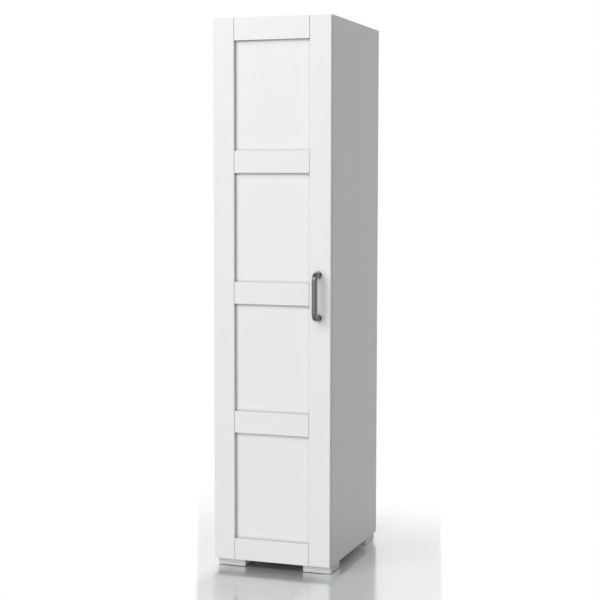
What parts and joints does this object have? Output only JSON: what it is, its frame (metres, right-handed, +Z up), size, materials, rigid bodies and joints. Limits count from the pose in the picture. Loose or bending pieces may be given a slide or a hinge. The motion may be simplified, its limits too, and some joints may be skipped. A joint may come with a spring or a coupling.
{
  "type": "bathroom cabinet",
  "caption": "Tall narrow floor-standing bathroom cabinet with one framed door of recessed panels, a bow handle, inner shelves and plate feet.",
  "frame": {"origin": "on the floor, under the middle of the box that holds the cabinet and its handle", "axes": "+Z up, -Y out of the door's face, +X to the right as seen from the front"},
  "size_m": [0.45, 0.654, 2.01],
  "materials": {
    "white_board": "particleboard faced with smooth white foil, satin",
    "door_frame": "fibreboard with smooth white foil, satin",
    "door_panel": "thin fibreboard painted white, satin",
    "back_board": "thin hardboard painted white",
    "white_plastic": "white extruded plastic",
    "foot_plastic": "light grey moulded plastic, satin",
    "glide_plastic": "dark plastic glide",
    "bumper_rubber": "clear soft rubber",
    "beech": "plain beech",
    "handle_metal": "satin grey metal",
    "cast_metal": "plated die-cast metal",
    "plated_steel": "nickel-plated steel"
  },
  "bodies": {
    "carcase": {"side_panel_left": "white_board", "side_panel_right": "white_board", "top_panel": "white_board", "bottom_panel": "white_board", "fixed_shelf": "white_board", "adjustable_shelf_1": "white_board", "adjustable_shelf_2": "white_board", "adjustable_shelf_3": "white_board", "adjustable_shelf_4": "white_board", "shelf_supports": "plated_steel", "back_panel_lower": "back_board", "back_panel_upper": "back_board", "back_joining_strip": "white_plastic", "cam_locks": "cast_metal", "cam_bolts": "plated_steel", "wooden_dowels": "beech", "foot_front_left": "foot_plastic", "foot_front_right": "foot_plastic", "foot_rear_left": "foot_plastic", "foot_rear_right": "foot_plastic", "foot_screws": "plated_steel", "foot_glides": "glide_plastic", "wall_bracket": "plated_steel", "wall_bracket_screws": "plated_steel", "hinge_mounting_plates": "cast_metal", "mounting_plate_screws": "plated_steel", "hinge_arms": "plated_steel", "arm_fixing_screws": "plated_steel", "arm_adjusting_screws": "plated_steel", "arm_pivot_pins": "plated_steel"},
    "long_links": {"long_hinge_links": "plated_steel"},
    "door": {"hinge_cups": "cast_metal", "cup_pivot_pins": "plated_steel", "cup_screws": "plated_steel", "door_stile_left": "door_frame", "door_stile_right": "door_frame", "door_rail_bottom": "door_frame", "door_rail_lower": "door_frame", "door_rail_middle": "door_frame", "door_rail_upper": "door_frame", "door_rail_top": "door_frame", "door_panel_bottom": "door_panel", "door_panel_lower": "door_panel", "door_panel_upper": "door_panel", "door_panel_top": "door_panel", "handle": "handle_metal", "handle_screws": "plated_steel", "door_bumpers": "bumper_rubber"},
    "short_links": {"short_hinge_links": "plated_steel", "short_link_arm_pins": "plated_steel"}
  },
  "joints": [
    {"name": "link_swing", "type": "hinge", "parent": "carcase", "child": "long_links", "pos_m": [-0.183, -0.229, 1.02], "axis": [0, 0, 1], "range_deg": [0, 21]},
    {"name": "door_swing", "type": "hinge", "parent": "long_links", "child": "door", "pos_m": [-0.2135, -0.254, 1.02], "axis": [0, 0, -1], "range_deg": [0, 115.9]},
    {"name": "short_link_swing", "type": "hinge", "parent": "door", "child": "short_links", "pos_m": [-0.2105, -0.2565, 1.02], "axis": [0, 0, 1], "range_deg": [0, 127]}
  ],
  "couplings": [
    {"joint": "link_swing", "follows": "door_swing", "ratio": 0.18019},
    {"joint": "short_link_swing", "follows": "door_swing", "ratio": 1.095}
  ]
}
